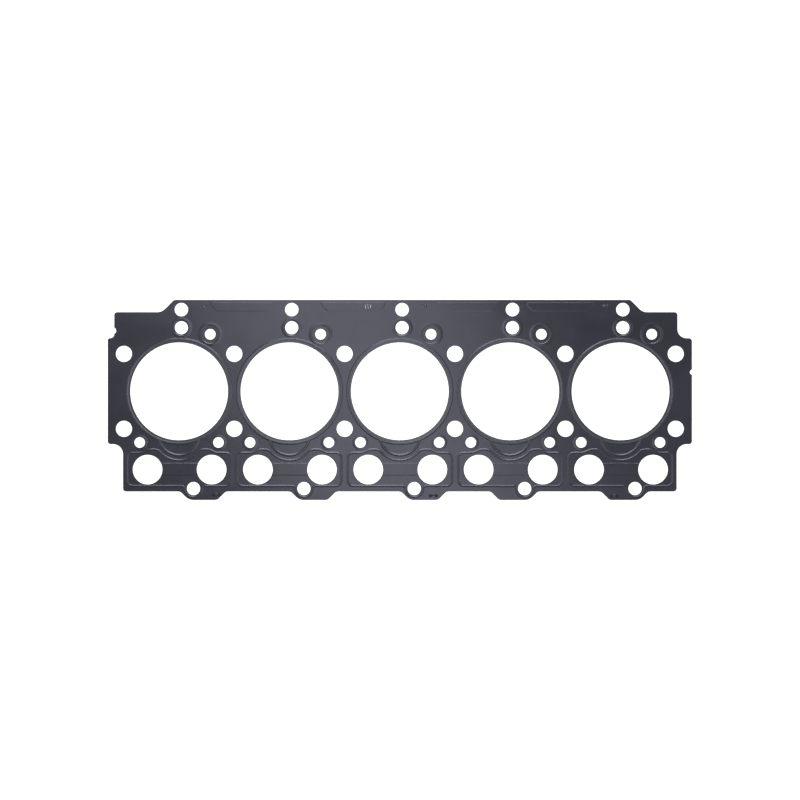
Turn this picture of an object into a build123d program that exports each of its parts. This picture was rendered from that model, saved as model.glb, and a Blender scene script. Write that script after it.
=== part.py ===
"""Cylinder head gasket of layered steel for a five-cylinder engine, lying flat.

Millimetres. X runs along the row of bores, Y across it towards the rim with the paired
passages, and Z points up, from the block to the head. The origin is on the axis of the
middle bore, on the underside of the gasket.

The stack, from below: a thick carrier sheet, five stopper rings that are laser welded on
it round the bores, and a thin sheet of spring steel. The beads are embossed in the thin
sheet, which keeps its thickness, so each bead is a ridge above and a groove below.
"""

import os

from build123d import *

# The row of bores
bore_count = 5
bore_radius = 45.4
bore_web = 11.7

# The stack
carrier_thickness = 0.7
bead_sheet_thickness = 0.3
stopper_height = 0.1
stopper_gap = 0.15

# Head bolts, in two rows at half the pitch beside each bore
bolt_row_drop = 10.6
bolt_radius = 7.5

# Passages of each bay: their sizes, and how far they stand off the bore's edge
drain_x = 2.1
upper_drain_offset = 30.5
upper_drain_radius = 6.25
lower_drain_offset = 13.7
lower_drain_radius = 6.1
feed_inset = 22.35
feed_offset = 7.6
feed_radius = 5.0
coolant_inset = 14.65
coolant_offset = 2.1
coolant_radius = 4.95
left_port_gap = 5.25
right_port_gap = 4.35
port_offset = 27.3
port_radius = 13.75

# Metal left between the openings and the rim
drain_web = 2.75
port_web = 6.55
ear_top_web = 7.0
ear_bottom_web = 6.75
end_margin = 15.05
body_margin = 0.85
left_shoulder_margin = 9.0
right_shoulder_margin = 1.6
left_slope_margin = 4.7
right_slope_margin = 9.1
shoulder_drop = 11.4

# Corner radii of the rim
corner_radius = 2.8
slope_top_radius = 3.0
slope_foot_radius = 10.0
ear_radius = 9.3
left_step_radius = 3.8
left_step_corner = 1.8
right_step_radius = 8.4

# Notches in the rim: a locating notch, and one thickness notch
locating_notch_radius = 3.2
locating_notch_depth = 1.8
locating_notch_y = 56.3
thickness_notch_radius = 2.5
thickness_notch_depth = 1.9
thickness_notch_y = 17.8

# Lobes that carry the outer bolts, one below each bore
lobe_bolt_x = 13.4
lobe_bolt_inset = 2.7
lobe_bolt_radius = 6.15
lobe_rim = 4.5
lobe_length = 22.0
mirrored_lobe_length = 23.7
lobe_fillet = 5.5
mirrored_lobes = (3, 4)

# Embossed beads
bead_height = 0.25
bore_bead_half_width = 1.5
bore_land = 1.6
line_bead_height = 0.2
line_bead_half_width = 1.2
pocket_bead_radius = 19.0
pocket_bead_drop = 14.0

# The bead that loops round the two ports of a bay
loop_gap = 2.95
loop_rim_gap = 5.0
loop_crown_rise = 4.95
loop_shoulder_rise = 1.85
loop_dip_gap = 4.7
loop_crown_width = 8.6
loop_slope_length = 6.0
loop_corner_radius = 5.1
loop_slope_radius = 10.0
loop_crown_radius = 7.5
loop_lobe_gap = 2.05
loop_lobe_fillet = 3.0

# The raised band between the two ports of a bay
band_above = 6.3
band_below = 5.6
band_overlap = 2.05
band_slope = 0.8
band_height = 0.12

# Places of the openings, from the bore's axis
bore_pitch = 2 * bore_radius + bore_web
bolt_row_y = bore_radius - bolt_row_drop
upper_drain_y = bore_radius + upper_drain_offset
lower_drain_y = bore_radius + lower_drain_offset
feed_x = bore_pitch / 2 - feed_inset
feed_y = bore_radius + feed_offset
coolant_x = bore_pitch / 2 - coolant_inset
coolant_y = -bore_radius - coolant_offset
loop_half_length = bore_pitch / 2 - loop_gap
left_port_x = -loop_half_length + left_port_gap + port_radius
right_port_x = loop_half_length - right_port_gap - port_radius
port_y = -bore_radius - port_offset

# The rim, worked out from the openings that it goes round
row_end = bore_pitch * (bore_count - 1) / 2
bolt_end = bore_pitch * bore_count / 2
rim_top = upper_drain_y + upper_drain_radius + drain_web
rim_bottom = -port_y + port_radius + port_web
ear_top = bolt_row_y + bolt_radius + ear_top_web
ear_bottom = bolt_row_y + bolt_radius + ear_bottom_web
shoulder_top = rim_top - shoulder_drop
half_length = bolt_end + end_margin
body_half_length = bolt_end + body_margin
left_shoulder = bolt_end + left_shoulder_margin
right_shoulder = bolt_end + right_shoulder_margin
left_slope_end = row_end + left_slope_margin
right_slope_end = row_end + right_slope_margin
lobe_bolt_y = -rim_bottom + lobe_bolt_inset

# The beads, worked out from the openings that they seal
bore_bead_radius = bore_radius + bore_land + bore_bead_half_width
pocket_bead_y = -(bore_radius + pocket_bead_drop) + pocket_bead_radius
loop_bottom = -rim_bottom + loop_rim_gap
loop_crown = port_y + port_radius + loop_crown_rise
loop_shoulder = port_y + port_radius + loop_shoulder_rise
loop_dip_radius = pocket_bead_radius + loop_dip_gap
loop_dip_x = (loop_dip_radius ** 2 - (loop_crown - pocket_bead_y) ** 2) ** 0.5
loop_crown_x = loop_dip_x + loop_crown_width
loop_shoulder_x = loop_crown_x + loop_slope_length
loop_lobe_radius = lobe_bolt_radius + loop_lobe_gap
band_top = port_y + band_above
band_bottom = port_y - band_below
band_half_length = right_port_x - port_radius + band_overlap

# Places along the row, and the top of the flat sheet
bore_xs = [i * bore_pitch - row_end for i in range(bore_count)]
bolt_xs = [i * bore_pitch - bolt_end for i in range(bore_count + 1)]
head_side = carrier_thickness + bead_sheet_thickness


def near(x, y, reach=0.01):
    """A filter for the vertices within reach of a corner of the outline."""
    return lambda v: abs(v.X - x) < reach and abs(v.Y - y) < reach


# Blank: the rim of every sheet, with its lobes and notches
with BuildSketch() as blank:
    with BuildLine():
        Polyline(
            (-body_half_length, -rim_bottom),
            (body_half_length, -rim_bottom),
            (body_half_length, -ear_bottom),
            (half_length, -ear_bottom),
            (half_length, ear_top),
            (right_shoulder, ear_top),
            (right_shoulder, shoulder_top),
            (right_slope_end + shoulder_drop, shoulder_top),
            (right_slope_end, rim_top),
            (-left_slope_end, rim_top),
            (-left_slope_end - shoulder_drop, shoulder_top),
            (-left_shoulder, shoulder_top),
            (-left_shoulder, ear_top),
            (-half_length, ear_top),
            (-half_length, -ear_bottom),
            (-body_half_length, -ear_bottom),
            close=True,
        )
    make_face()

    # Rounded corners, each group with its own radius
    corner_groups = [
        (corner_radius, [
            (-body_half_length, -rim_bottom),
            (body_half_length, -rim_bottom),
            (half_length, -ear_bottom),
            (half_length, ear_top),
            (right_shoulder, shoulder_top),
            (-left_shoulder, shoulder_top),
            (-half_length, -ear_bottom),
        ]),
        (slope_top_radius, [(right_slope_end, rim_top), (-left_slope_end, rim_top)]),
        (slope_foot_radius, [
            (right_slope_end + shoulder_drop, shoulder_top),
            (-left_slope_end - shoulder_drop, shoulder_top),
        ]),
        (ear_radius, [(body_half_length, -ear_bottom), (-body_half_length, -ear_bottom)]),
        (right_step_radius, [(right_shoulder, ear_top)]),
        (left_step_radius, [(-left_shoulder, ear_top)]),
        (left_step_corner, [(-half_length, ear_top)]),
    ]
    for radius, corners in corner_groups:
        chosen = [blank.vertices().filter_by(near(*corner))[0] for corner in corners]
        fillet(chosen, radius)

    # Each lobe is a bar below the rim, round at its bolt hole and sloped at its far end
    lobe_reach = lobe_bolt_radius + lobe_rim
    lobe_drop = -lobe_bolt_y + lobe_reach - rim_bottom
    lobe_ends = []
    for i, x in enumerate(bore_xs):
        side = -1 if i in mirrored_lobes else 1
        length = mirrored_lobe_length if i in mirrored_lobes else lobe_length
        centre = x + lobe_bolt_x
        tip = centre + side * length
        heel = centre - side * (lobe_reach * (2 ** 0.5) - (rim_bottom + lobe_bolt_y))
        with BuildLine():
            Polyline(
                (centre, -rim_bottom - lobe_drop),
                (tip, -rim_bottom - lobe_drop),
                (tip + side * lobe_drop, -rim_bottom),
                (tip + side * lobe_drop, lobe_bolt_y),
                (centre, lobe_bolt_y),
                close=True,
            )
        make_face()
        with BuildLine():
            Polyline(
                (centre, lobe_bolt_y),
                (heel, -rim_bottom),
                (centre - side * lobe_reach / 2 ** 0.5, lobe_bolt_y - lobe_reach / 2 ** 0.5),
                close=True,
            )
        make_face()
        with Locations((centre, lobe_bolt_y)):
            Circle(lobe_reach)
        lobe_ends += [
            (heel, -rim_bottom),
            (tip, -rim_bottom - lobe_drop),
            (tip + side * lobe_drop, -rim_bottom),
        ]
    chosen = [blank.vertices().filter_by(near(*corner))[0] for corner in lobe_ends]
    fillet(chosen, lobe_fillet)

    # The notches are shallow bites from circles that stand outside the rim
    with Locations((-left_shoulder - locating_notch_radius + locating_notch_depth, locating_notch_y)):
        Circle(locating_notch_radius, mode=Mode.SUBTRACT)
    with Locations((half_length + thickness_notch_radius - thickness_notch_depth, thickness_notch_y)):
        Circle(thickness_notch_radius, mode=Mode.SUBTRACT)

# Openings: everything that is punched through all the sheets
with BuildSketch() as openings:
    with Locations(*[(x, 0) for x in bore_xs]):
        Circle(bore_radius)
    with Locations(*[(x, y) for x in bolt_xs for y in (-bolt_row_y, bolt_row_y)]):
        Circle(bolt_radius)
    with Locations(*[(x + drain_x, upper_drain_y) for x in bore_xs]):
        Circle(upper_drain_radius)
    with Locations(*[(x + drain_x, lower_drain_y) for x in bore_xs]):
        Circle(lower_drain_radius)
    with Locations(*[(x + feed_x, feed_y) for x in bore_xs]):
        Circle(feed_radius)
    with Locations(*[(x + side * coolant_x, coolant_y) for x in bore_xs for side in (-1, 1)]):
        Circle(coolant_radius)
    with Locations(*[(x + port_x, port_y) for x in bore_xs for port_x in (left_port_x, right_port_x)]):
        Circle(port_radius)
    with Locations(*[(x + lobe_bolt_x, lobe_bolt_y) for x in bore_xs]):
        Circle(lobe_bolt_radius)

# Centre line of the bead that goes round the two ports of a bay and its outer bolt
with BuildSketch() as loop_line:
    with BuildLine():
        Polyline(
            (-loop_half_length, loop_bottom),
            (loop_half_length, loop_bottom),
            (loop_half_length, loop_shoulder),
            (loop_shoulder_x, loop_shoulder),
            (loop_crown_x, loop_crown),
            (-loop_crown_x, loop_crown),
            (-loop_shoulder_x, loop_shoulder),
            (-loop_half_length, loop_shoulder),
            close=True,
        )
    make_face()
    with Locations((0, pocket_bead_y)):
        Circle(loop_dip_radius, mode=Mode.SUBTRACT)
    with Locations((lobe_bolt_x, lobe_bolt_y)):
        Circle(loop_lobe_radius)
    fillet(loop_line.vertices().filter_by(lambda v: abs(v.X) > loop_half_length - 1), loop_corner_radius)
    shoulder_bends = loop_line.vertices().filter_by(
        lambda v: v.Y > loop_shoulder - 0.1 and loop_crown_x - 0.1 < abs(v.X) < loop_shoulder_x + 0.1
    )
    fillet(shoulder_bends, loop_slope_radius)
    crown_bends = loop_line.vertices().filter_by(
        lambda v: abs(v.Y - loop_crown) < 0.1 and abs(v.X) < loop_dip_radius
    )
    fillet(crown_bends, loop_crown_radius)
    lobe_bends = loop_line.vertices().filter_by(
        lambda v: abs(v.Y - loop_bottom) < 0.1 and abs(v.X - lobe_bolt_x) < loop_lobe_radius + 1
    )
    fillet(lobe_bends, loop_lobe_fillet)
loop_path = loop_line.sketch.faces()[0].outer_wire()


def ring_plane(x, y):
    """The upright plane through a ring's axis, in which its section is drawn."""
    return Plane(origin=(x, y, 0), x_dir=(1, 0, 0), z_dir=(0, -1, 0))


# Relief of one bay: the height that the embossing adds above the flat of the sheet
with BuildPart() as bay_relief:
    # The pocket bead hangs below the bore bead and ends in it
    with BuildSketch(ring_plane(0, pocket_bead_y)):
        with BuildLine():
            Polyline(
                (pocket_bead_radius - bore_bead_half_width, 0),
                (pocket_bead_radius + bore_bead_half_width, 0),
                (pocket_bead_radius, bead_height),
                close=True,
            )
        make_face()
    revolve(axis=Axis((0, pocket_bead_y, 0), (0, 0, 1)))
    Cylinder(
        bore_bead_radius,
        bead_height,
        align=(Align.CENTER, Align.CENTER, Align.MIN),
        mode=Mode.SUBTRACT,
    )

    # The bore bead rises from a land that lies on the stopper ring
    with BuildSketch(ring_plane(0, 0)):
        with BuildLine():
            Polyline(
                (bore_radius, 0),
                (bore_bead_radius + bore_bead_half_width, 0),
                (bore_bead_radius, bead_height),
                (bore_radius + bore_land, stopper_height),
                (bore_radius, stopper_height),
                close=True,
            )
        make_face()
    revolve(axis=Axis.Z)

    # The loop bead follows its centre line
    with BuildSketch(Plane(origin=loop_path @ 0, x_dir=(0, 0, 1), z_dir=loop_path % 0)):
        with BuildLine():
            Polyline(
                (0, -line_bead_half_width),
                (0, line_bead_half_width),
                (line_bead_height, 0),
                close=True,
            )
        make_face()
    sweep(path=loop_path)

    # The band between the ports is a low step with sloped edges
    with BuildSketch(Plane.YZ.offset(-band_half_length)):
        with BuildLine():
            Polyline(
                (band_bottom, 0),
                (band_top, 0),
                (band_top - band_slope, band_height),
                (band_bottom + band_slope, band_height),
                close=True,
            )
        make_face()
    extrude(amount=2 * band_half_length)

# Carrier sheet
with BuildPart() as carrier_layer:
    with BuildSketch():
        add(blank.sketch)
        add(openings.sketch, mode=Mode.SUBTRACT)
    extrude(amount=carrier_thickness)

# Beaded sheet: the relief is added above it and taken away below it
with BuildPart() as upper_bead_layer:
    with BuildSketch(Plane.XY.offset(carrier_thickness)):
        add(blank.sketch)
    extrude(amount=bead_sheet_thickness)
    with Locations(*[(x, 0, head_side) for x in bore_xs]):
        add(bay_relief.part)
    with Locations(*[(x, 0, carrier_thickness) for x in bore_xs]):
        add(bay_relief.part, mode=Mode.SUBTRACT)
    with BuildSketch(Plane.XY.offset(carrier_thickness)):
        add(openings.sketch)
    extrude(amount=bead_sheet_thickness + bead_height, mode=Mode.SUBTRACT)

# Write each piece
os.makedirs("parts", exist_ok=True)
carrier_layer.part.label = "carrier_layer"
export_step(carrier_layer.part, "parts/carrier_layer.step")
upper_bead_layer.part.label = "upper_bead_layer"
export_step(upper_bead_layer.part, "parts/upper_bead_layer.step")

# Stopper rings, one round each bore between the two sheets
for i, x in enumerate(bore_xs):
    with BuildPart() as stopper_ring:
        with BuildSketch(Plane.XY.offset(carrier_thickness)):
            with Locations((x, 0)):
                Circle(bore_radius + bore_land - stopper_gap)
                Circle(bore_radius, mode=Mode.SUBTRACT)
        extrude(amount=stopper_height)
    name = f"bore_stopper_ring_{i + 1}"
    stopper_ring.part.label = name
    export_step(stopper_ring.part, f"parts/{name}.step")
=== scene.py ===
# %% [markdown]
# # Dressing a layered steel head gasket
#
# A head gasket seals the joint between an engine's block and its cylinder head. This one is
# a stack of steel: a thick carrier sheet, a stopper ring welded round each bore, and a thin
# sheet of spring steel on top. The thin sheet is pressed into beads, low ridges that the
# bolted head squeezes flat, so that they push back along a sealing line.
#
# The solids come from a CAD model, where each bead is a plain V. This lesson makes the
# upper sheet again as one fine mesh, with the round beads of real presswork, and gives
# every sheet its finish. Each bead keeps the foot, the crest and the height that it has in
# the solid. Only the section between them is rounded.

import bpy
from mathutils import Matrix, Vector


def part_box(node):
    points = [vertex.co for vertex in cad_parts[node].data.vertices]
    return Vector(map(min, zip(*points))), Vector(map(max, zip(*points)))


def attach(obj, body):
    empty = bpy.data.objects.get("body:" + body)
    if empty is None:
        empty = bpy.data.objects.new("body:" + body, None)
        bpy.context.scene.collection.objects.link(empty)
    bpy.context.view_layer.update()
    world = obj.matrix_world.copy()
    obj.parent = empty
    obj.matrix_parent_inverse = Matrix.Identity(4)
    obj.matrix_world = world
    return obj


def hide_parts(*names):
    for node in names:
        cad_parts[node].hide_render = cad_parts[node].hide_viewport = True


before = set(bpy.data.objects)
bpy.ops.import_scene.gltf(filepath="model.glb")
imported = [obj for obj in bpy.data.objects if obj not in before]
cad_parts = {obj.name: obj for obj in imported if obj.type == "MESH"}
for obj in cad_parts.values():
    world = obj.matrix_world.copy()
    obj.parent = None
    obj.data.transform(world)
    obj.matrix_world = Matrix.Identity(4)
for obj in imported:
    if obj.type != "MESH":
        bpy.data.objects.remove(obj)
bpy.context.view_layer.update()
print("solids:", sorted(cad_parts))

# %% [markdown]
# ## Modules
#
# The mesh is worked out with numpy, which handles all its points at once, and Blender
# brings the triangulation. The gasket is worked out in millimetres, and turned into metres
# as its mesh is made.

# %% Modules
import math

import bpy
import numpy as np
from mathutils.geometry import delaunay_2d_cdt

MM = 0.001

# %% [markdown]
# ## The plan of the gasket
#
# Every sheet of the stack is punched with the same openings. They could be read back from
# the solid, but there each circle is a coarse polygon, and a fine mesh needs finer ones. So
# the plan is repeated here in millimetres, from the middle bore's axis, and only the
# heights are read from the solids.

# %% Heights of the stack
carrier_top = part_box("carrier_layer")[1].z / MM
crest_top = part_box("upper_bead_layer")[1].z / MM
bead_height = 0.25
flat_top = crest_top - bead_height
sheet_thickness = flat_top - carrier_top
print(f"sheet {sheet_thickness:.2f} mm thick, its flat at {flat_top:.2f} mm")

# %% [markdown]
# ### Openings
#
# A bay is the stretch of the gasket that belongs to one cylinder. Its openings are listed
# once as (x, y, radius) from its bore's axis, and repeated along the row. The head bolts
# stand between the bays and at both ends.

# %% Openings
bore_count = 5
bore_pitch = 102.5
bore_radius = 45.4
row_end = bore_pitch * (bore_count - 1) / 2
bore_xs = [i * bore_pitch - row_end for i in range(bore_count)]
bolt_xs = [i * bore_pitch - row_end - bore_pitch / 2 for i in range(bore_count + 1)]

bolt_row_y, bolt_radius = 34.8, 7.5
upper_drain = (2.1, 75.9, 6.25)
lower_drain = (2.1, 59.1, 6.1)
feed_hole = (28.9, 53.0, 5.0)
left_coolant_hole = (-36.6, -47.5, 4.95)
right_coolant_hole = (36.6, -47.5, 4.95)
left_port = (-29.3, -72.7, 13.75)
right_port = (30.2, -72.7, 13.75)
lobe_bolt = (13.4, -90.3, 6.15)

bay_openings = [
    (0, 0, bore_radius),
    upper_drain,
    lower_drain,
    feed_hole,
    left_coolant_hole,
    right_coolant_hole,
    left_port,
    right_port,
    lobe_bolt,
]
openings = [(bore_x + x, y, r) for bore_x in bore_xs for x, y, r in bay_openings]
openings += [(x, side * bolt_row_y, bolt_radius) for x in bolt_xs for side in (-1, 1)]
print(len(openings), "openings in each sheet")

# %% [markdown]
# ## Lines with round corners
#
# The rim and the long bead are straight runs joined by arcs, as a press tool's maker draws
# them. Blender's curves could hold them, but a bead needs the same line several times, each
# a little to one side. A small function does both: it rounds a list of corners, and shifts
# the line by making its arcs larger or smaller.

# %% Rounded lines, circles and closer points
arc_step_angle, arc_step_length = math.radians(9), 2


def rounded(corners, aside=0.0):
    """A closed line round corners of (x, y, radius), shifted to its left by aside."""
    arcs = []
    for i, (x, y, radius) in enumerate(corners):
        corner = np.array((x, y), float)
        before = corner - corners[i - 1][:2]
        after = corners[(i + 1) % len(corners)][:2] - corner
        before /= np.linalg.norm(before)
        after /= np.linalg.norm(after)
        turn = math.atan2(before[0] * after[1] - before[1] * after[0], before @ after)
        hand = math.copysign(1, turn)
        start = corner - before * radius * math.tan(abs(turn) / 2)
        centre = start + np.array((-before[1], before[0])) * hand * radius
        first = math.atan2(start[1] - centre[1], start[0] - centre[0])
        by_angle = math.ceil(abs(turn) / arc_step_angle)
        by_length = math.ceil(abs(turn) * radius / arc_step_length)
        angles = first + turn * np.linspace(0, 1, max(by_angle, by_length) + 1)
        arc = np.stack((np.cos(angles), np.sin(angles)), axis=1)
        arcs.append(centre + arc * (radius - hand * aside))
    return closer(np.concatenate(arcs))


def closer(line, longest=8.0):
    """The same closed line with points added on its long straight runs."""
    points = []
    for start, end in zip(line, np.roll(line, -1, axis=0)):
        count = max(1, math.ceil(np.linalg.norm(end - start) / longest))
        points.append(start + (end - start) * np.arange(count)[:, None] / count)
    return np.concatenate(points)


def circle(x, y, radius):
    """A closed round line, with more points on a larger circle, so that none looks angular."""
    count = 8 * math.ceil(3 + radius ** 0.5 * 2)
    angles = np.arange(count) * 2 * math.pi / count
    return np.stack((x + radius * np.cos(angles), y + radius * np.sin(angles)), axis=1)


print("a bore's edge has", len(circle(0, 0, bore_radius)), "points")

# %% [markdown]
# ## The rim
#
# The rim is stepped at both ends, notched on the left and on the right, and has a lobe
# below each bore for an outer bolt. It is one list of corners, walked against the clock.

# %% Sizes of the rim
rim_top, rim_bottom = 84.9, -93.0
half_length, body_half_length = 271.3, 257.1
ear_top, ear_bottom = 49.3, -49.05
left_shoulder, right_shoulder, shoulder_top = -265.25, 257.85, 73.5
left_slope, right_slope = -209.7, 214.1
slope = rim_top - shoulder_top
corner, sharp_corner = 2.8, 1.8
ear_fillet, left_step_fillet, right_step_fillet = 9.3, 3.8, 8.4
slope_foot, slope_top = 10, 3
print("the rim spans", 2 * half_length, "mm")

# %% [markdown]
# ### A lobe
#
# A lobe is round at its bolt hole and sloped at its far end, and the last two lobes are
# mirrored. Its sides run at 45 degrees, so their places follow from how far it reaches.

# %% A lobe
lobe_length, mirrored_lobe_length, mirrored_lobes = 22.0, 23.7, (3, 4)
lobe_reach = 10.65
lobe_bottom = lobe_bolt[1] - lobe_reach
lobe_drop = rim_bottom - lobe_bottom
lobe_fillet = 5.5
heel_reach = lobe_reach * 2 ** 0.5 + rim_bottom - lobe_bolt[1]


def lobe(bore_x, mirrored):
    """The corners of one lobe, from left to right."""
    side = -1 if mirrored else 1
    length = mirrored_lobe_length if mirrored else lobe_length
    centre = bore_x + lobe_bolt[0]
    corners = [
        (centre - side * heel_reach, rim_bottom, lobe_fillet),
        (centre - side * (heel_reach - lobe_drop), lobe_bottom, lobe_reach),
        (centre + side * length, lobe_bottom, lobe_fillet),
        (centre + side * (length + lobe_drop), rim_bottom, lobe_fillet),
    ]
    return corners[::side]


print("a lobe reaches", round(lobe_drop, 2), "mm below the rim")

# %% Corners of the rim
rim_corners = [(-body_half_length, rim_bottom, corner)]
for i, bore_x in enumerate(bore_xs):
    rim_corners += lobe(bore_x, mirrored=i in mirrored_lobes)
rim_corners += [
    (body_half_length, rim_bottom, corner),
    (body_half_length, ear_bottom, ear_fillet),
    (half_length, ear_bottom, corner),
    (half_length, ear_top, corner),
    (right_shoulder, ear_top, right_step_fillet),
    (right_shoulder, shoulder_top, corner),
    (right_slope + slope, shoulder_top, slope_foot),
    (right_slope, rim_top, slope_top),
    (left_slope, rim_top, slope_top),
    (left_slope - slope, shoulder_top, slope_foot),
    (left_shoulder, shoulder_top, corner),
    (left_shoulder, ear_top, left_step_fillet),
    (-half_length, ear_top, sharp_corner),
    (-half_length, ear_bottom, corner),
    (-body_half_length, ear_bottom, ear_fillet),
]
locating_notch_out, thickness_notch_out = 1.4, 0.6  # their centres lie beyond the rim
locating_notch = (left_shoulder - locating_notch_out, 56.3, 3.2)
thickness_notch = (half_length + thickness_notch_out, 17.8, 2.5)
cuts = openings + [locating_notch, thickness_notch]
rim = rounded(rim_corners)
print("the rim has", len(rim), "points")

# %% [markdown]
# ## The long bead
#
# Below each bore one bead runs round both ports and the outer bolt. Its upper side dips
# under the pocket bead, on an arc about the same centre, and its lower side bulges round
# the bolt hole. Both arcs meet a straight run through a fillet, and the corners that make
# such an arc follow from the angle at which arc and fillet touch.

# %% Corners of the long bead
pocket_y, pocket_radius = -40.4, 19.0
dip_radius, crown_y, crown_fillet = 23.7, -54.0, 7.5
bulge_radius, bottom_y, bulge_fillet = 8.2, -88.0, 3.0
loop_side, shoulder_y, loop_corner = 48.3, -57.1, 5.1
crown_start, shoulder_end, shoulder_fillet = 28.0, 34.0, 10

dip_turn = math.acos((pocket_y - crown_y + crown_fillet) / (dip_radius + crown_fillet))
dip_touch = (dip_radius + crown_fillet) * math.sin(dip_turn)
crown_x = dip_touch - crown_fillet * math.tan(dip_turn / 2)
dip_apex = pocket_y - dip_radius / math.cos(dip_turn)

bulge_lean = math.asin((lobe_bolt[1] - bottom_y + bulge_fillet) / (bulge_radius + bulge_fillet))
bulge_turn = math.pi / 2 - bulge_lean
bulge_touch = (bulge_radius + bulge_fillet) * math.cos(bulge_lean)
bulge_top = bulge_touch - bulge_fillet * math.tan(bulge_turn / 2)
bulge_low = bulge_radius * math.tan(bulge_turn / 2)

long_bead_corners = [
    (-loop_side, bottom_y, loop_corner),
    (lobe_bolt[0] - bulge_top, bottom_y, bulge_fillet),
    (lobe_bolt[0] - bulge_low, lobe_bolt[1] - bulge_radius, bulge_radius),
    (lobe_bolt[0] + bulge_low, lobe_bolt[1] - bulge_radius, bulge_radius),
    (lobe_bolt[0] + bulge_top, bottom_y, bulge_fillet),
    (loop_side, bottom_y, loop_corner),
    (loop_side, shoulder_y, loop_corner),
    (shoulder_end, shoulder_y, shoulder_fillet),
    (crown_start, crown_y, shoulder_fillet),
    (crown_x, crown_y, crown_fillet),
    (0, dip_apex, dip_radius),
    (-crown_x, crown_y, crown_fillet),
    (-crown_start, crown_y, shoulder_fillet),
    (-shoulder_end, shoulder_y, shoulder_fillet),
    (-loop_side, shoulder_y, loop_corner),
]
long_bead = rounded(long_bead_corners)
print("the long bead dips to", round(pocket_y - dip_radius, 1), "mm")

# %% [markdown]
# ## The relief
#
# The height of the sheet is worked out from the plan alone: each bead is a rounded hump
# across its line, and where two meet the higher one wins, as it does under the press.
# Sculpting or a displacement map could do this too, but a formula gives the same crisp
# bead everywhere, and the mesh can then be made to suit it.
#
# A pressed bead isn't a plain V: it's round on its crest and at its feet. The bore bead,
# the inner side of the long bead and the upper edge of the band bend over a broad crest.
# Their flank is then short and steep, and catches the light as a thin line.
#
# A ring round an opening has three radii: its inner foot, its crest and its outer foot.

# %% Sizes of the beads
bore_crest, bore_half, stopper_height = 48.5, 1.5, 0.1
pocket_half = 1.5
long_bead_height, long_bead_half = 0.2, 1.2
feed_rim = (8.0, 9.0, 11.5)
drain_rim = (6.6, 7.7, 10.2)
ring_height = 0.16
collar_land, collar_foot, collar_height = 5.9, 7.7, 0.14
collar_slope = collar_foot - collar_land
band_top, band_bottom, band_half, band_height = -66.4, -78.3, 18.5, 0.12
band_slope = 0.8
roll_width, roll_drop = 0.25, 0.06
broad_crest = (0.7, 0.3)  # shares of a half section that its crest and foot bend over
print("the bore bead is", 2 * bore_half, "mm wide, the long one", 2 * long_bead_half, "mm")


# %% Section of a bead
def hump(t, crest_share=0.25, foot_share=0.25):
    """A bead's section: 1 on the crest, 0 from the foot on, a straight flank between."""
    t = np.clip(np.abs(t), 0, 1)
    steepness = 1 / (1 - (crest_share + foot_share) / 2)
    crest = 1 - steepness * t ** 2 / (2 * crest_share)
    flank = 1 - steepness * (t - crest_share / 2)
    foot = steepness * (1 - t) ** 2 / (2 * foot_share)
    return np.where(t < crest_share, crest, np.where(t > 1 - foot_share, foot, flank))


print("halfway down its flank a bead is", hump(0.5).round(2), "of its height")

# %% [markdown]
# ### Distances
#
# A bead is as high as its section says at a point's distance from its line. The line may be
# a circle, known by its middle, or any closed line of short runs.

# %% Distances
no_length = 1e-12  # keeps a share finite on a run without length


def from_point(points, x, y):
    """How far the points lie from one point."""
    return np.hypot(points[:, 0] - x, points[:, 1] - y)


def from_line(points, line):
    """How far the points lie from a closed line."""
    nearest = np.full(len(points), np.inf)
    for start, end in zip(line, np.roll(line, -1, axis=0)):
        run = end - start
        share = np.clip((points - start) @ run / max(run @ run, no_length), 0, 1)
        nearest = np.minimum(nearest, ((points - start - share[:, None] * run) ** 2).sum(axis=1))
    return np.sqrt(nearest)


def in_loop(points, loop):
    """Which points lie inside a closed line."""
    inside = np.zeros(len(points), bool)
    for (x0, y0), (x1, y1) in zip(loop, np.roll(loop, -1, axis=0)):
        if y0 != y1:
            crosses = (points[:, 1] > min(y0, y1)) & (points[:, 1] <= max(y0, y1))
            at = x0 + (points[:, 1] - y0) * (x1 - x0) / (y1 - y0)
            inside ^= crosses & (points[:, 0] < at)
    return inside


print("the rim comes within", from_line(np.zeros((1, 2)), rim)[0].round(2), "mm of a bore's axis")

# %% [markdown]
# ### Rings and collars
#
# The feed holes and the lower drain holes have a low ring that is steep on the side of the
# hole. The coolant holes have a low collar.

# %% Rings and collars
def steep_ring(points, x, y, rim_radii):
    """A ring that rises steeply on the side of its opening and falls gently outside."""
    inner, crest, outer = rim_radii
    past = from_point(points, x, y) - crest
    return hump(np.where(past < 0, past / (crest - inner), past / (outer - crest)))


def collar(points, x, y):
    """A low collar, level round its hole and then falling to its foot."""
    past_land = (from_point(points, x, y) - collar_land).clip(0)
    return collar_height * hump(past_land / collar_slope)


# %% [markdown]
# ### One bay
#
# The bore bead rises from the land that lies on the stopper ring, and the pocket bead stops
# at its crest. The long bead needs to know which side of its loop a point is on, because
# its two flanks are rounded differently. The band is a low step with two sloped edges.

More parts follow.
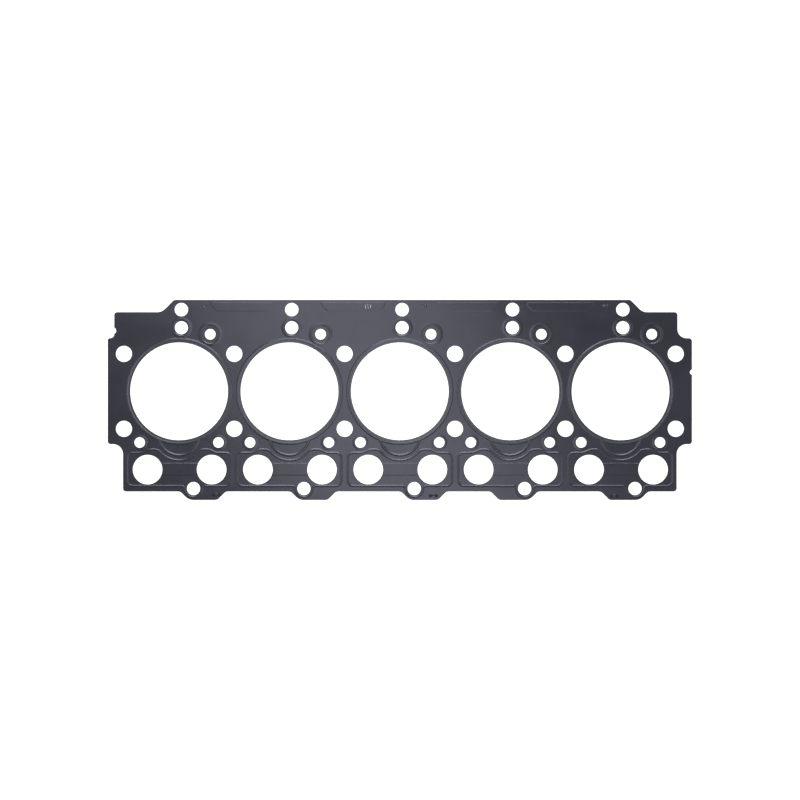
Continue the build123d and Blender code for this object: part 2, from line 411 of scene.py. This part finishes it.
# %% Height of one bay
def bay_height(points):
    """Height over the flat sheet, for points measured from the bay's bore axis."""
    x, y = points.T
    from_bore = from_point(points, 0, 0)
    land = np.where(from_bore < bore_crest, stopper_height, 0)
    bore_section = hump((from_bore - bore_crest) / bore_half, *broad_crest)
    bore_bead = land + (bead_height - land) * bore_section

    past_pocket = from_point(points, 0, pocket_y) - pocket_radius
    pocket_bead = bead_height * hump(past_pocket / pocket_half)
    pocket_bead[from_bore < bore_crest] = 0

    past = from_line(points, long_bead) * np.where(in_loop(points, long_bead), 1, -1)
    share = past / long_bead_half
    long_line = long_bead_height * np.where(past < 0, hump(share), hump(share, *broad_crest))
    rings = [
        ring_height * steep_ring(points, *feed_hole[:2], feed_rim),
        ring_height * steep_ring(points, *lower_drain[:2], drain_rim),
    ]
    collars = [collar(points, *hole[:2]) for hole in (left_coolant_hole, right_coolant_hole)]
    upper_step = hump(1 - ((band_top - y) / band_slope).clip(0, 1), *broad_crest)
    lower_step = hump(1 - ((y - band_bottom) / band_slope).clip(0, 1))
    band = band_height * np.minimum(upper_step, lower_step) * (np.abs(x) < band_half)
    return np.max([bore_bead, pocket_bead, long_line, *rings, *collars, band], axis=0)


on_the_long_bead = np.array([(0.0, bottom_y)])
print("the long bead stands", bay_height(on_the_long_bead)[0].round(2), "mm over the flat")

# %% [markdown]
# ## Fields and clinch marks
#
# Along the upper rim the sheet has long low fields that stiffen it, and one of them carries
# three short ribs. In six places the sheets are clinched to one another: a punch leaves two
# small pits with a raised bridge between them. The three by the upper rim are small and
# shallow, and the three in the lobes are large and deep.

# %% Fields and clinch marks
field_bottom, field_top, field_height, field_slope = 74.1, 82.9, 0.08, 0.8
field_ends = [(-175.3, -118.0), (-72.8, -14.0), (34.0, 92.0), (118.0, 180.0)]
field_cut, field_lower_fillet, field_upper_fillet = 5.4, 2, 1
rib_xs, rib_bottom, rib_top = (-32.0, -29.6, -27.2), 76.7, 81.1
rib_half, rib_height = 0.4, 0.1
upper_clinches = [(-182.6, 78.8), (23.9, 79.8), (190.5, 80.1)]
lower_clinches = [(-170.7, -96.7), (31.2, -97.2), (199.3, -97.7)]
bridge_radius, bridge_height = 1.5, 0.24
# A pit's place beside the middle, its radius and depth, and the bridge's place above it
small_clinch = (1.9, 1.3, 0.14, -0.8)
large_clinch = (2.7, 1.75, 0.28, 1.3)
clinches = [(x, y, *small_clinch) for x, y in upper_clinches]
clinches += [(x, y, *large_clinch) for x, y in lower_clinches]


def field_corners(left, right):
    """The outline of a low field, with its lower corners cut off."""
    return [
        (left + field_cut, field_bottom, field_lower_fillet),
        (right - field_cut, field_bottom, field_lower_fillet),
        (right, field_bottom + field_cut, field_lower_fillet),
        (right, field_top, field_upper_fillet),
        (left, field_top, field_upper_fillet),
        (left, field_bottom + field_cut, field_lower_fillet),
    ]


fields = [rounded(field_corners(*ends)) for ends in field_ends]
print(len(fields), "fields and", len(clinches), "clinch marks")

# %% [markdown]
# ### Heights of the fields and marks
#
# A field is at its full height a short way inside its outline. Deeper inside the formula
# falls to the flat again, but the mesh has no points there, so the field stays level. Only
# the ribs bring points of their own: round them the sheet dips to the flat, and they stand
# in a shallow hollow of their field.

# %% Height of the fields and marks
def inside_by(points, line):
    """How far the points lie inside a closed line, 0 outside it."""
    low, high = line.min(axis=0), line.max(axis=0)
    near = np.all((points > low) & (points < high), axis=1)
    depth = np.zeros(len(points))
    depth[near] = from_line(points[near], line) * in_loop(points[near], line)
    return depth


def mark_height(points):
    """Height that the edges of the fields, the ribs and the clinch marks add to the sheet."""
    height = np.zeros(len(points))
    for line in fields:
        height += field_height * hump(1 - inside_by(points, line) / field_slope)
    for x in rib_xs:
        y = points[:, 1].clip(rib_bottom, rib_top)
        height += rib_height * hump(np.hypot(points[:, 0] - x, points[:, 1] - y) / rib_half)
    for x, y, apart, pit_radius, pit_depth, bridge_lift in clinches:
        for side in (-1, 1):
            height -= pit_depth * hump(from_point(points, x + side * apart, y) / pit_radius)
        height += bridge_height * hump(from_point(points, x, y + bridge_lift) / bridge_radius)
    return height


edge_of_field = np.array([(sum(field_ends[0]) / 2, field_bottom + field_slope)])
print("the edge of a field rises", mark_height(edge_of_field)[0].round(2), "mm over the flat")

# %% [markdown]
# ## The mesh of the upper sheet
#
# A plain grid fine enough for a bead three millimetres wide would need far more faces than
# this. Instead the mesh is given lines to follow: the rim, the openings, and for each bead
# a few lines beside one another. A constrained Delaunay triangulation joins them, so the
# faces are small on the beads and large on the flats between.

# %% Guide lines of a bay
flank_lines, beyond_foot = 5, 0.4  # lines on a bead's flank, and how far out the next one is
slope_shares = (0, 0.33, 0.66, 1)  # places of the lines across a plain slope
collar_shares = (*slope_shares, 1.3)
band_points = 12
into_bore_bead = 0.5  # how far the pocket's lines run on past the crest of the bore bead


def across(inner, crest, outer):
    """Places of the guide lines across a bead, with one more beyond its outer foot."""
    rise = np.linspace(inner, crest, flank_lines)
    fall = np.linspace(crest, outer, flank_lines)
    return [*rise, *fall[1:], outer + beyond_foot]


def bay_lines():
    """The lines that the mesh follows in one bay, as (points, is closed)."""
    bore_radii = across(bore_crest - bore_half, bore_crest, bore_crest + bore_half)
    lines = [(circle(0, 0, radius), True) for radius in bore_radii]
    for aside in across(-long_bead_half, 0, long_bead_half):
        lines.append((rounded(long_bead_corners, aside), True))
    for aside in across(-pocket_half, 0, pocket_half):
        arc = circle(0, pocket_y, pocket_radius + aside)
        arc = np.roll(arc, -len(arc) // 4, axis=0)
        lines.append((arc[from_point(arc, 0, 0) > bore_crest - into_bore_bead], False))
    for hole, rim_radii in ((feed_hole, feed_rim), (lower_drain, drain_rim)):
        lines += [(circle(*hole[:2], radius), True) for radius in across(*rim_radii)]
    for hole in (left_coolant_hole, right_coolant_hole):
        radii = [collar_land + share * collar_slope for share in collar_shares]
        lines += [(circle(*hole[:2], radius), True) for radius in radii]
    band_xs = np.linspace(-band_half, band_half, band_points)
    for edge, run in ((band_top, -band_slope), (band_bottom, band_slope)):
        for share in slope_shares:
            lines.append((np.array([(x, edge + share * run) for x in band_xs]), False))
    return lines


print(len(bay_lines()), "guide lines in a bay")

# %% Guide lines of the whole sheet
# The first line round a rib or a pit lies beyond its foot, the last one just off its middle
rib_line_gap, pit_line_gap = 0.01, 0.03  # in millimetres, and as a share of the radius
lines = [(rim, True), (rounded(rim_corners, roll_width), True)]
for x, y, radius in cuts:
    lines += [(circle(x, y, radius), True), (circle(x, y, radius + roll_width), True)]
for bore_x in bore_xs:
    lines += [(line + (bore_x, 0), closed) for line, closed in bay_lines()]
for share in slope_shares:
    for ends in field_ends:
        lines.append((rounded(field_corners(*ends), share * field_slope), True))
    for x in rib_xs:
        half = rib_half * (1 - share) + rib_line_gap
        lines.append((rounded([
            (x - half, rib_bottom - half, half),
            (x + half, rib_bottom - half, half),
            (x + half, rib_top + half, half),
            (x - half, rib_top + half, half),
        ]), True))
    for x, y, apart, pit_radius, _, bridge_lift in clinches:
        inward = 1 + pit_line_gap - share
        for side in (-1, 1):
            lines.append((circle(x + side * apart, y, pit_radius * inward), True))
        lines.append((circle(x, y + bridge_lift, bridge_radius * inward), True))
print(len(lines), "guide lines with", sum(len(line) for line, _ in lines), "points")


# %% [markdown]
# ### Triangles
#
# The triangulation fills everything between the lines, openings too. A triangle is kept if
# its middle lies inside the rim and outside every opening, and then the points that no kept
# triangle uses are dropped.

# %% Triangulate between the lines
merge_distance = 5e-3  # points nearer to one another than this count as one
edge_margin = 0.02  # a chord of a round edge lies a little inside its circle


def triangulate(lines):
    """Points and triangles of the sheet in plan, with the openings left out."""
    points, edges = [], []
    for line, closed in lines:
        first, count = len(points), len(line)
        points += [tuple(p) for p in line]
        edges += [(first + i, first + i + 1) for i in range(count - 1)]
        if closed:
            edges.append((first + count - 1, first))
    made, _, faces, *_ = delaunay_2d_cdt(points, edges, [], 0, merge_distance)
    points, faces = np.array(made, float), np.array(faces)
    middles = points[faces].mean(axis=1)
    kept = in_loop(middles, rim)
    for x, y, radius in cuts:
        kept &= from_point(middles, x, y) > radius - edge_margin
    faces = faces[kept]
    used = np.unique(faces)
    renumbered = np.zeros(len(points), int)
    renumbered[used] = np.arange(len(used))
    return points[used], renumbered[faces]


plan, triangles = triangulate(lines)
print(len(plan), "points and", len(triangles), "triangles in plan")

# %% [markdown]
# ### Heights
#
# The same formula gives the height at any place of the plan. Along every cut edge the punch
# rolls the sheet down a little.

# %% Heights of the points
def sheet_top(points):
    """Height of the sheet's upper face, for points of the whole plan."""
    height = flat_top + mark_height(points)
    for bore_x in bore_xs:
        near = np.abs(points[:, 0] - bore_x) < bore_pitch / 2
        height[near] += bay_height(points[near] - (bore_x, 0))
    inland = np.minimum.reduce([from_point(points, x, y) - radius for x, y, radius in cuts])
    from_edge = np.minimum(inland, from_line(points, rim)).clip(0)
    return height - roll_drop * (1 - from_edge / roll_width).clip(0) ** 2


heights = sheet_top(plan)
print("the sheet's top lies between", heights.min().round(2), "and", heights.max().round(2), "mm")

# %% [markdown]
# ## From plan to sheet
#
# A pressed sheet keeps its thickness: a ridge above is a groove below. So the underside is
# the top again, lowered by the sheet's thickness and turned over, and a wall joins the two
# along every edge that only one triangle uses. A Solidify modifier does much the same, but
# it would leave no say in which faces are the punched walls, and those are bare steel.

# %% Faces of the upper sheet
def cut_edges(triangles):
    """The edges that belong to one triangle only, each in the direction that it is walked."""
    edges = np.concatenate([triangles[:, [0, 1]], triangles[:, [1, 2]], triangles[:, [2, 0]]])
    unordered = np.sort(edges, axis=1)
    _, where, uses = np.unique(unordered, axis=0, return_index=True, return_counts=True)
    return edges[where[uses == 1]]


count = len(plan)
top = np.column_stack((plan, heights)) * MM
bottom = np.column_stack((plan, np.maximum(heights - sheet_thickness, carrier_top))) * MM
punched = cut_edges(triangles)
walls = np.column_stack((punched[:, ::-1], punched + count))
faces = triangles.tolist() + (triangles[:, ::-1] + count).tolist() + walls.tolist()
print(2 * len(triangles) + 2 * len(walls), "triangles in the closed sheet")

# %% [markdown]
# ### Shading
#
# Smooth shading spreads a bead's tilt over the large flat faces beside it, and shows as
# smudges. The height formula knows the true slope at every point, so the mesh is given the
# normals that follow from it. A wall's normal points straight out of its cut edge.

# %% Normals from the slope
step = 0.02  # to either side of a point, in millimetres
slope_x = (sheet_top(plan + (step, 0)) - sheet_top(plan - (step, 0))) / (2 * step)
slope_y = (sheet_top(plan + (0, step)) - sheet_top(plan - (0, step))) / (2 * step)
up = np.column_stack((-slope_x, -slope_y, np.ones(count)))
up /= np.linalg.norm(up, axis=1)[:, None]
along = plan[punched[:, 1]] - plan[punched[:, 0]]
outward = np.column_stack((along[:, 1], -along[:, 0], np.zeros(len(along))))
outward /= np.linalg.norm(outward, axis=1)[:, None]
normals = np.concatenate((
    up[triangles].reshape(-1, 3),
    -up[triangles[:, ::-1]].reshape(-1, 3),
    np.repeat(outward, walls.shape[1], axis=0),
))
print("steepest slope", round(float(np.degrees(np.arccos(up[:, 2].min()))), 1), "degrees")

# %% [markdown]
# ### The finish of each face
#
# Most of the sheet is coated. The film is worn thinner on the lands round the bores, where
# the sheet lies on the stopper ring. The ribs are rubbed bare on top, the lower clinch pits
# are painted darker as shade, and every punched wall is bare. Pieces of their own would
# open seams, so one mesh carries all four finishes, and each face has the number of its own.

# %% Finish of each face
film_face, bare_wall, thin_film, in_pit = 0, 1, 2, 3
thin_film_edge = 48.0  # from the bore's axis, just short of the bead's crest
rubbed_half = rib_half / 4
# Painted shade: the lower clinch pits are darkened out to this share of their radius.
pit_shade_share = 0.85  # of a pit's radius
middles = plan[triangles].mean(axis=1)
nearest_bore = np.min([from_point(middles, bore_x, 0) for bore_x in bore_xs], axis=0)
top_finish = np.where(nearest_bore < thin_film_edge, thin_film, film_face)
on_rib = np.min([np.abs(middles[:, 0] - x) for x in rib_xs], axis=0) < rubbed_half
top_finish[on_rib & (middles[:, 1] > rib_bottom) & (middles[:, 1] < rib_top)] = bare_wall
# The lower clinch pits get the darker finish, which is painted shade.
for x, y in lower_clinches:
    apart, pit_radius = large_clinch[:2]
    for side in (-1, 1):
        in_this_pit = from_point(middles, x + side * apart, y) < pit_radius * pit_shade_share
        top_finish[in_this_pit] = in_pit
finishes = [*top_finish, *[film_face] * len(triangles), *[bare_wall] * len(walls)]
# The faces with painted shade are those of the lower clinch pits.
print("top faces with film, bare, with thin film and with painted shade:", np.bincount(top_finish))

# %% [markdown]
# ### The piece
#
# The mesh is made in one go from its points and faces, and takes the place of the CAD
# solid. Dividing the solid's own mesh would be less work, but its circles would stay coarse.

# %% Build the upper sheet
sheet_mesh = bpy.data.meshes.new("upper_sheet")
sheet_mesh.from_pydata(np.concatenate((top, bottom)).tolist(), [], faces)
sheet_mesh.polygons.foreach_set("material_index", finishes)
sheet_mesh.shade_smooth()
sheet_mesh.normals_split_custom_set(normals.tolist())

upper_sheet = bpy.data.objects.new("upper_sheet", sheet_mesh)
bpy.context.scene.collection.objects.link(upper_sheet)
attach(upper_sheet, "root")
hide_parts("upper_bead_layer")
print("the upper sheet replaces its solid")

# %% [markdown]
# ## Finishes
#
# The sheets carry a thin film of baked rubber, almost black and a little blue, with a satin
# skin over the rolled steel. Its look comes from the shine more than from the colour, so the
# base colours are very dark. All the patterns are made by noise textures in the object's
# own space, so they stay in place in any view and need no image.

# %% A material and its noise
def new_material(name):
    """A new material, its node tree and its shader."""
    material = bpy.data.materials.new(name)
    material.use_nodes = True
    return material, material.node_tree, material.node_tree.nodes["Principled BSDF"]


def noise(tree, scale, detail, stretch=(1, 1, 1)):
    """A noise value in the object's own space, finer along the axes with a larger stretch."""
    place = tree.nodes.new("ShaderNodeTexCoord")
    mapping = tree.nodes.new("ShaderNodeMapping")
    mapping.inputs["Scale"].default_value = stretch
    texture = tree.nodes.new("ShaderNodeTexNoise")
    texture.inputs["Scale"].default_value = scale
    texture.inputs["Detail"].default_value = detail
    tree.links.new(place.outputs["Object"], mapping.inputs["Vector"])
    tree.links.new(mapping.outputs["Vector"], texture.inputs["Vector"])
    return texture.outputs["Fac"]


# %% What the noise drives
middle_low, middle_high = 0.3, 0.7  # most values of a noise lie between these
grain_strength = 0.5


def between(tree, value, low, high, socket):
    """Feeds a socket with low to high as the value goes through its middle range."""
    spread = tree.nodes.new("ShaderNodeMapRange")
    spread.inputs["From Min"].default_value = middle_low
    spread.inputs["From Max"].default_value = middle_high
    spread.inputs["To Min"].default_value = low
    spread.inputs["To Max"].default_value = high
    tree.links.new(value, spread.inputs["Value"])
    tree.links.new(spread.outputs["Result"], socket)


def two_colours(tree, value, dark, light):
    """A colour that goes from dark to light as the value goes through its middle range."""
    ramp = tree.nodes.new("ShaderNodeValToRGB")
    ends = (middle_low, dark), (middle_high, light)
    for element, (position, colour) in zip(ramp.color_ramp.elements, ends):
        element.position = position
        element.color = (*colour, 1)
    tree.links.new(value, ramp.inputs["Fac"])
    return ramp.outputs["Color"]


def add_grain(tree, shader, value, depth):
    """Fine relief, depth millimetres high, on the shader's surface."""
    bump = tree.nodes.new("ShaderNodeBump")
    bump.inputs["Strength"].default_value = grain_strength
    bump.inputs["Distance"].default_value = depth * MM
    tree.links.new(value, bump.inputs["Height"])
    tree.links.new(bump.outputs["Normal"], shader.inputs["Normal"])


# %% [markdown]
# ### The rubber film
#
# It is rolled on the coil and baked, so it follows the rolling direction: its gloss varies
# in long faint streaks. On the crests of the beads handling rubs it a little, and there the
# steel shows through as a paler grey. The rub is a mask on the height, broken up by noise.
#
# The thin film on the lands and the darker matt film in the pits, which is painted shade,
# are made the same way, with colours and a gloss of their own.

# %% Rubber film
# Scales of the noise: the larger, the finer
film_scale, rub_scale, streak_scale, skin_scale = 45, 300, 18, 700
along_the_coil = (0.3, 1.5, 1)
gloss_spread, skin_depth = 0.06, 0.004
rub_reach = 0.06  # how far down from the highest crest, in millimetres
film_specular, film_tint = 0.24, (0.82, 0.83, 1.0)
mix_share, mix_from, mix_to, mixed = 0, 6, 7, 2  # the sockets of a mix node for colours


def rubber_film(name, dark, light, rubbed, roughness=0.18):
    """The baked rubber film, with its crests rubbed paler."""
    material, tree, shader = new_material(name)
    film_colour = two_colours(tree, noise(tree, film_scale, detail=5), dark, light)
    place = tree.nodes.new("ShaderNodeTexCoord")
    axes = tree.nodes.new("ShaderNodeSeparateXYZ")
    crest = tree.nodes.new("ShaderNodeMapRange")
    crest.inputs["From Min"].default_value = (crest_top - rub_reach) * MM
    crest.inputs["From Max"].default_value = crest_top * MM
    patches = tree.nodes.new("ShaderNodeMath")
    patches.operation = "MULTIPLY"
    mix = tree.nodes.new("ShaderNodeMix")
    mix.data_type = "RGBA"
    mix.inputs[mix_to].default_value = (*rubbed, 1)
    tree.links.new(place.outputs["Object"], axes.inputs["Vector"])
    tree.links.new(axes.outputs["Z"], crest.inputs["Value"])
    tree.links.new(crest.outputs["Result"], patches.inputs[0])
    tree.links.new(noise(tree, rub_scale, detail=4), patches.inputs[1])
    tree.links.new(patches.outputs["Value"], mix.inputs[mix_share])
    tree.links.new(film_colour, mix.inputs[mix_from])
    tree.links.new(mix.outputs[mixed], shader.inputs["Base Color"])
    streaks = noise(tree, streak_scale, detail=4, stretch=along_the_coil)
    between(tree, streaks, roughness, roughness + gloss_spread, shader.inputs["Roughness"])
    shader.inputs["Specular IOR Level"].default_value = film_specular
    shader.inputs["Specular Tint"].default_value = (*film_tint, 1)
    add_grain(tree, shader, noise(tree, skin_scale, detail=3), skin_depth)
    print(name, "made")
    return material


# %% Film, thin film and painted pit shade
film = rubber_film(
    "rubber_film",
    dark=(0.013, 0.013, 0.018),
    light=(0.018, 0.018, 0.024),
    rubbed=(0.06, 0.06, 0.07),
)
film_on_land = rubber_film(
    "film_on_land",
    dark=(0.028, 0.028, 0.034),
    light=(0.038, 0.038, 0.045),
    rubbed=(0.08, 0.08, 0.09),
)
# Painted shade for the lower clinch pits: a darker, matt film.
painted_pit_shade = rubber_film(
    "painted_pit_shade",
    dark=(0.014, 0.014, 0.015),
    light=(0.020, 0.020, 0.022),
    rubbed=(0.06, 0.06, 0.07),
    roughness=0.8,
)

# %% [markdown]
# ### Bare steel
#
# The film is on the coil before the sheets are punched, so every cut wall is bare. A punch
# drags fine marks down the wall, which the noise follows. The stopper rings are bare as
# well, with the marks of their rolling.

# %% Bare steel
steel_dark, steel_light = (0.34, 0.34, 0.35), (0.50, 0.50, 0.51)
mark_scale, mark_depth, mark_gloss_spread = 1200, 0.003, 0.1
wall_marks, wall_roughness = (1, 1, 0.08), 0.4
ring_marks, ring_roughness = (0.08, 1, 1), 0.3


def steel_surface(tree, shader, stretch, roughness):
    """Makes a shader bare marked steel, and returns the value that its marks follow."""
    marks = noise(tree, mark_scale, detail=3, stretch=stretch)
    colour = two_colours(tree, marks, steel_dark, steel_light)
    tree.links.new(colour, shader.inputs["Base Color"])
    between(tree, marks, roughness, roughness + mark_gloss_spread, shader.inputs["Roughness"])
    shader.inputs["Metallic"].default_value = 1.0
    return marks


def bare_steel(name, stretch, roughness):
    """Bare spring steel with fine marks along the least stretched axis."""
    material, tree, shader = new_material(name)
    marks = steel_surface(tree, shader, stretch, roughness)
    add_grain(tree, shader, marks, mark_depth)
    print(name, "made")
    return material


punched_wall = bare_steel("punched_wall", wall_marks, wall_roughness)
ring_steel = bare_steel("ring_steel", ring_marks, ring_roughness)

# %% [markdown]
# ### The carrier's finish
#
# The carrier has the same film and the same bare cut walls, but it is a plain solid with
# one finish. So the finish decides for itself: a face that stands upright is steel, and any
# other is film. Marking its wall faces by hand would do too, but has to be done again
# whenever the solid changes.

# %% Carrier finish
upright_facing, facing_tolerance = 0.0, 0.5


def film_with_bare_walls(name):
    """The film on level faces and bare steel on upright ones."""
    material = film.copy()
    material.name = name
    tree = material.node_tree
    coated = tree.nodes["Principled BSDF"]
    bare = tree.nodes.new("ShaderNodeBsdfPrincipled")
    steel_surface(tree, bare, wall_marks, wall_roughness)
    surface = tree.nodes.new("ShaderNodeNewGeometry")
    facing = tree.nodes.new("ShaderNodeSeparateXYZ")
    upright = tree.nodes.new("ShaderNodeMath")
    upright.operation = "COMPARE"
    upright.inputs[1].default_value = upright_facing
    upright.inputs[2].default_value = facing_tolerance
    mix = tree.nodes.new("ShaderNodeMixShader")
    tree.links.new(surface.outputs["Normal"], facing.inputs["Vector"])
    tree.links.new(facing.outputs["Z"], upright.inputs[0])
    tree.links.new(upright.outputs["Value"], mix.inputs["Fac"])
    tree.links.new(coated.outputs["BSDF"], mix.inputs[1])
    tree.links.new(bare.outputs["BSDF"], mix.inputs[2])
    tree.links.new(mix.outputs["Shader"], tree.nodes["Material Output"].inputs["Surface"])
    print(name, "made")
    return material


carrier_finish = film_with_bare_walls("carrier_finish")

# %% [markdown]
# ### The finish of each piece
#
# The sheet's finishes go into its slots in the order of their numbers. The carrier and the
# stopper rings are plain, so they stay as the CAD solids and take one finish each.

# %% Give the pieces their finishes
for material in (film, punched_wall, film_on_land, painted_pit_shade):
    sheet_mesh.materials.append(material)

solid_finishes = {"carrier_layer": carrier_finish}
for i in range(bore_count):
    solid_finishes[f"bore_stopper_ring_{i + 1}"] = ring_steel
for node, material in solid_finishes.items():
    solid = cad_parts[node]
    solid.data.materials.clear()
    solid.data.materials.append(material)
print(1 + len(solid_finishes), "pieces have their finish")

# %% [markdown]
# ## The table
#
# The gasket lies on a white table. One level face is enough, because the picture shows
# neither its edge nor its underside.

# %% Table
table_reach = 4.0
quarters = (-1, -1), (1, -1), (1, 1), (-1, 1)
table_corners = [(x * table_reach, y * table_reach, 0) for x, y in quarters]
table_mesh = bpy.data.meshes.new("table")
table_mesh.from_pydata(table_corners, [], [(0, 1, 2, 3)])
table = bpy.data.objects.new("table", table_mesh)
bpy.context.scene.collection.objects.link(table)
print("table", 2 * table_reach, "m wide")

# %% [markdown]
# ### The table's finish
#
# The table glows a little for rays from the camera and for mirror rays, which brings it to
# white in the picture and adds no light to the gasket. Brighter lamps would whiten it too,
# and the gasket with it. The glow is weaker under the gasket, so that its shadow still
# shows there.

# %% Rays of the camera and of mirrors
def seen_directly(tree):
    """1 for rays from the camera, a mirror or glass, 0 for the rays that carry light."""
    path = tree.nodes.new("ShaderNodeLightPath")
    seen = path.outputs["Is Camera Ray"]
    for kind in ("Is Glossy Ray", "Is Transmission Ray"):
        either = tree.nodes.new("ShaderNodeMath")
        either.operation = "MAXIMUM"
        tree.links.new(seen, either.inputs[0])
        tree.links.new(path.outputs[kind], either.inputs[1])
        seen = either.outputs["Value"]
    return seen


# %% Finish of the table
paper_dark, paper_light, paper_roughness = (0.80, 0.80, 0.80), (0.82, 0.82, 0.82), 0.9
paper_scale = 5
glow_near, glow_far = 0.4, 1.6  # metres from the table's middle
weak_glow, full_glow = 0.5, 1.0

paper, tree, shader = new_material("white_table")
paper_colour = two_colours(tree, noise(tree, paper_scale, detail=3), paper_dark, paper_light)
tree.links.new(paper_colour, shader.inputs["Base Color"])
shader.inputs["Roughness"].default_value = paper_roughness
shader.inputs["Specular IOR Level"].default_value = 0.0
shader.inputs["Emission Color"].default_value = (1, 1, 1, 1)
place = tree.nodes.new("ShaderNodeTexCoord")
distance = tree.nodes.new("ShaderNodeVectorMath")
distance.operation = "LENGTH"
glow = tree.nodes.new("ShaderNodeMapRange")
glow.inputs["From Min"].default_value = glow_near
glow.inputs["From Max"].default_value = glow_far
glow.inputs["To Min"].default_value = weak_glow
glow.inputs["To Max"].default_value = full_glow
seen_glow = tree.nodes.new("ShaderNodeMath")
seen_glow.operation = "MULTIPLY"
tree.links.new(place.outputs["Object"], distance.inputs[0])
tree.links.new(distance.outputs["Value"], glow.inputs["Value"])
tree.links.new(glow.outputs["Result"], seen_glow.inputs[0])
tree.links.new(seen_directly(tree), seen_glow.inputs[1])
tree.links.new(seen_glow.outputs["Value"], shader.inputs["Emission Strength"])
table_mesh.materials.append(paper)
print(paper.name, "made")

# %% [markdown]
# ## Studio light
#
# The surround is even and white. The camera and mirrors see it at full strength, but it
# gives only a faint light, so that the lamps model the beads. A picture of a real studio
# could be wrapped round the scene, but this needs no image.

# %% Surround
surround_light, surround_seen = 0.08, 1.0
world = bpy.data.worlds.new("studio")
bpy.context.scene.world = world
world.use_nodes = True
sky = world.node_tree.nodes["Background"]
sky.inputs["Color"].default_value = (1, 1, 1, 1)
seen = seen_directly(world.node_tree)
between(world.node_tree, seen, surround_light, surround_seen, sky.inputs["Strength"])
print("surround made")

# %% [markdown]
# ### Lamps
#
# A small lamp straight overhead makes the sheen that fades from the middle of the sheet to
# its ends. A long lamp beyond the upper rim lights the steep slopes of the beads that face
# it, and two weak ones at the sides keep the slopes that face them from going dark. Each is
# a flat rectangle and no point, because the satin film mirrors the shape of a lamp.

# %% Lamps
def softbox(name, place, size, power, turn=0):
    """A rectangular lamp that faces the middle of the gasket, turned by some degrees."""
    lamp = bpy.data.lights.new(name, "AREA")
    lamp.shape = "RECTANGLE"
    lamp.size, lamp.size_y = size
    lamp.energy = power
    box = bpy.data.objects.new(name, lamp)
    box.location = place
    x, y, z = place
    box.rotation_euler = (-math.atan2(y, z), math.atan2(x, z), math.radians(turn))
    bpy.context.scene.collection.objects.link(box)
    print(name, "at", place)


softbox("overhead_lamp", place=(-0.04, 0, 1.3), size=(0.36, 0.9), power=5.6, turn=21)
softbox("key_lamp", place=(0, 0.96, 2.2), size=(1.1, 0.4), power=31)
for side, name in ((-1, "left_lamp"), (1, "right_lamp")):
    softbox(name, place=(side * 1.1, 0, 2.2), size=(0.8, 1.2), power=7)

# %% [markdown]
# ## Camera
#
# The photograph looks straight down, from far enough that the punched walls hardly show.
# The lens follows from the height and from how many millimetres the picture spans.

# %% Camera
frame_width = 743.0
frame_centre = (0.14, -8.1)
camera_height = 2600.0
camera_data = bpy.data.cameras.new("camera")
camera_data.lens = camera_data.sensor_width * (camera_height - flat_top) / frame_width
camera = bpy.data.objects.new("camera", camera_data)
camera.location = (frame_centre[0] * MM, frame_centre[1] * MM, camera_height * MM)
bpy.context.scene.collection.objects.link(camera)
bpy.context.scene.camera = camera
bpy.context.scene.view_settings.view_transform = "Standard"
print(f"lens {camera_data.lens:.1f} mm")
